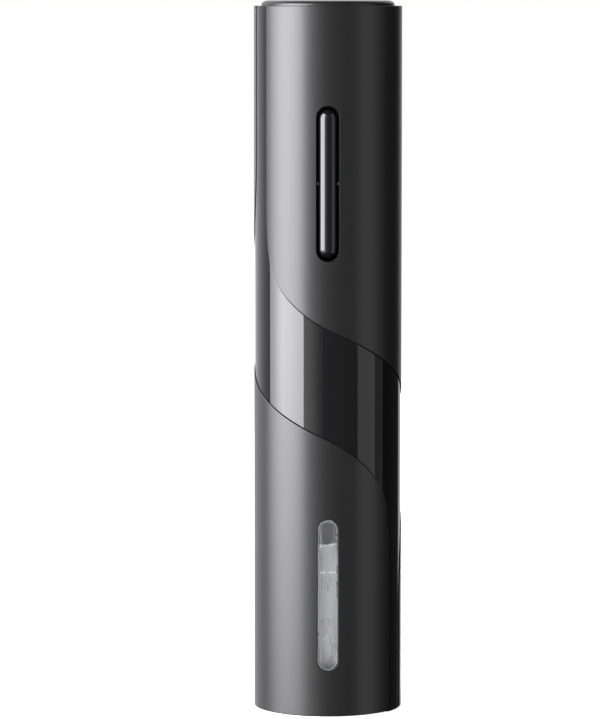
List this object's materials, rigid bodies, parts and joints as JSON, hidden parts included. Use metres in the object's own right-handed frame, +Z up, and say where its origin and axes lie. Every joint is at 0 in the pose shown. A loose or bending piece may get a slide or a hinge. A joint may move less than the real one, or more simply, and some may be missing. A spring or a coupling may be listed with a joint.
{
  "type": "electric wine opener",
  "caption": "Upright battery wine opener: black cylinder with matte wrap-round sleeves over a glossy band, a long rocker button and a slim window over the screw.",
  "frame": {"origin": "middle of the open mouth, on the plane that the opener stands on", "axes": "+Z up along the body, the button and window face -Y, +X to the right seen from the front"},
  "size_m": [0.05, 0.051, 0.24],
  "materials": {
    "matte_shell": "satin, fine moulded texture",
    "gloss_shell": "piano black, high gloss",
    "button_gloss": "high gloss",
    "lid_plastic": "satin",
    "window_clear": "clear, lightly frosted inside",
    "mouth_clear": "frosted",
    "inner_plastic": "moulded",
    "polished_steel": "polished",
    "motor_steel": "zinc plated",
    "bronze": "sintered",
    "nylon": "natural nylon",
    "circuit_board": "solder resist",
    "cell_jacket": "printed steel jacket, no print",
    "contact_metal": "nickel plated"
  },
  "bodies": {
    "root": {"upper_sleeve": "matte_shell", "lower_sleeve": "matte_shell", "body_tube": "gloss_shell", "window_lens": "window_clear", "mouth_sleeve": "mouth_clear", "cork_chamber": "inner_plastic", "chassis_left": "inner_plastic", "chassis_right": "inner_plastic", "gearbox_ring": "inner_plastic", "gearbox_cover": "inner_plastic", "motor_end_cap": "inner_plastic", "rocker_frame": "inner_plastic", "upper_switch": "inner_plastic", "lower_switch": "inner_plastic", "battery_tray": "inner_plastic", "neck_ring": "inner_plastic", "rocker_pin": "polished_steel", "chassis_screw_1": "polished_steel", "chassis_screw_2": "polished_steel", "chassis_screw_3": "polished_steel", "chassis_screw_4": "polished_steel", "motor_can": "motor_steel", "motor_plate": "motor_steel", "output_bush": "bronze", "switch_board": "circuit_board", "battery_1": "cell_jacket", "battery_2": "cell_jacket", "battery_3": "cell_jacket", "battery_4": "cell_jacket", "terminal_plus": "contact_metal", "terminal_minus": "contact_metal", "base_bridge": "contact_metal", "base_spring_1": "contact_metal", "base_spring_2": "contact_metal"},
    "corkscrew_drive": {"output_carrier": "polished_steel", "corkscrew_hub": "polished_steel", "corkscrew": "polished_steel"},
    "middle_carrier": {"middle_carrier": "nylon"},
    "input_carrier": {"input_carrier": "nylon"},
    "motor_rotor": {"motor_shaft": "polished_steel", "motor_pinion": "bronze"},
    "output_planet_1": {"output_planet_1": "nylon"},
    "output_planet_2": {"output_planet_2": "nylon"},
    "output_planet_3": {"output_planet_3": "nylon"},
    "middle_planet_1": {"middle_planet_1": "nylon"},
    "middle_planet_2": {"middle_planet_2": "nylon"},
    "middle_planet_3": {"middle_planet_3": "nylon"},
    "input_planet_1": {"input_planet_1": "nylon"},
    "input_planet_2": {"input_planet_2": "nylon"},
    "input_planet_3": {"input_planet_3": "nylon"},
    "rocker_button": {"rocker_button": "button_gloss"},
    "upper_plunger": {"upper_plunger": "nylon"},
    "lower_plunger": {"lower_plunger": "nylon"},
    "lid_carrier": {"lid_carrier": "inner_plastic", "lid_bridge_1": "contact_metal", "lid_bridge_2": "contact_metal", "lid_spring_1": "contact_metal", "lid_spring_2": "contact_metal"},
    "lid_cap": {"lid_cap": "lid_plastic"}
  },
  "joints": [
    {"name": "corkscrew_spin", "type": "hinge", "parent": "root", "child": "corkscrew_drive", "pos_m": [0, 0, 0.09], "axis": [0, 0, 1], "continuous": true},
    {"name": "middle_carrier_spin", "type": "hinge", "parent": "root", "child": "middle_carrier", "pos_m": [0, 0, 0.105], "axis": [0, 0, 1], "continuous": true},
    {"name": "input_carrier_spin", "type": "hinge", "parent": "root", "child": "input_carrier", "pos_m": [0, 0, 0.112], "axis": [0, 0, 1], "continuous": true},
    {"name": "motor_spin", "type": "hinge", "parent": "root", "child": "motor_rotor", "pos_m": [0, 0, 0.13], "axis": [0, 0, 1], "continuous": true},
    {"name": "output_planet_1_spin", "type": "hinge", "parent": "corkscrew_drive", "child": "output_planet_1", "pos_m": [0.0096, 0, 0.1006], "axis": [0, 0, 1], "continuous": true},
    {"name": "output_planet_2_spin", "type": "hinge", "parent": "corkscrew_drive", "child": "output_planet_2", "pos_m": [-0.0048, 0.00831, 0.1006], "axis": [0, 0, 1], "continuous": true},
    {"name": "output_planet_3_spin", "type": "hinge", "parent": "corkscrew_drive", "child": "output_planet_3", "pos_m": [-0.0048, -0.00831, 0.1006], "axis": [0, 0, 1], "continuous": true},
    {"name": "middle_planet_1_spin", "type": "hinge", "parent": "middle_carrier", "child": "middle_planet_1", "pos_m": [0.0096, 0, 0.1086], "axis": [0, 0, 1], "continuous": true},
    {"name": "middle_planet_2_spin", "type": "hinge", "parent": "middle_carrier", "child": "middle_planet_2", "pos_m": [-0.0048, 0.00831, 0.1086], "axis": [0, 0, 1], "continuous": true},
    {"name": "middle_planet_3_spin", "type": "hinge", "parent": "middle_carrier", "child": "middle_planet_3", "pos_m": [-0.0048, -0.00831, 0.1086], "axis": [0, 0, 1], "continuous": true},
    {"name": "input_planet_1_spin", "type": "hinge", "parent": "input_carrier", "child": "input_planet_1", "pos_m": [0.0096, 0, 0.1157], "axis": [0, 0, 1], "continuous": true},
    {"name": "input_planet_2_spin", "type": "hinge", "parent": "input_carrier", "child": "input_planet_2", "pos_m": [-0.0048, 0.00831, 0.1157], "axis": [0, 0, 1], "continuous": true},
    {"name": "input_planet_3_spin", "type": "hinge", "parent": "input_carrier", "child": "input_planet_3", "pos_m": [-0.0048, -0.00831, 0.1157], "axis": [0, 0, 1], "continuous": true},
    {"name": "button_rock", "type": "hinge", "parent": "root", "child": "rocker_button", "pos_m": [0, -0.0212, 0.1792], "axis": [1, 0, 0], "range_deg": [-2.5, 2.5], "stiffness_Nm_per_rad": 0.6},
    {"name": "upper_plunger_press", "type": "slide", "parent": "root", "child": "upper_plunger", "axis": [0, 1, 0], "range_m": [-0.0008, 0.0008]},
    {"name": "lower_plunger_press", "type": "slide", "parent": "root", "child": "lower_plunger", "axis": [0, 1, 0], "range_m": [-0.0008, 0.0008]},
    {"name": "lid_lift", "type": "slide", "parent": "root", "child": "lid_carrier", "axis": [0, 0, 1], "range_m": [0, 0.03]},
    {"name": "lid_twist", "type": "hinge", "parent": "lid_carrier", "child": "lid_cap", "pos_m": [0, 0, 0.235], "axis": [0, 0, 1], "range_deg": [0, 300]}
  ],
  "couplings": [
    {"joint": "middle_carrier_spin", "follows": "corkscrew_spin", "ratio": 4},
    {"joint": "input_carrier_spin", "follows": "corkscrew_spin", "ratio": 16},
    {"joint": "motor_spin", "follows": "corkscrew_spin", "ratio": 64},
    {"joint": "output_planet_1_spin", "follows": "corkscrew_spin", "ratio": -3},
    {"joint": "output_planet_2_spin", "follows": "corkscrew_spin", "ratio": -3},
    {"joint": "output_planet_3_spin", "follows": "corkscrew_spin", "ratio": -3},
    {"joint": "middle_planet_1_spin", "follows": "corkscrew_spin", "ratio": -12},
    {"joint": "middle_planet_2_spin", "follows": "corkscrew_spin", "ratio": -12},
    {"joint": "middle_planet_3_spin", "follows": "corkscrew_spin", "ratio": -12},
    {"joint": "input_planet_1_spin", "follows": "corkscrew_spin", "ratio": -48},
    {"joint": "input_planet_2_spin", "follows": "corkscrew_spin", "ratio": -48},
    {"joint": "input_planet_3_spin", "follows": "corkscrew_spin", "ratio": -48},
    {"joint": "upper_plunger_press", "follows": "button_rock", "m_per_rad": -0.016},
    {"joint": "lower_plunger_press", "follows": "button_rock", "m_per_rad": 0.016},
    {"joint": "lid_lift", "follows": "lid_twist", "m_per_rad": 0.0057296}
  ]
}
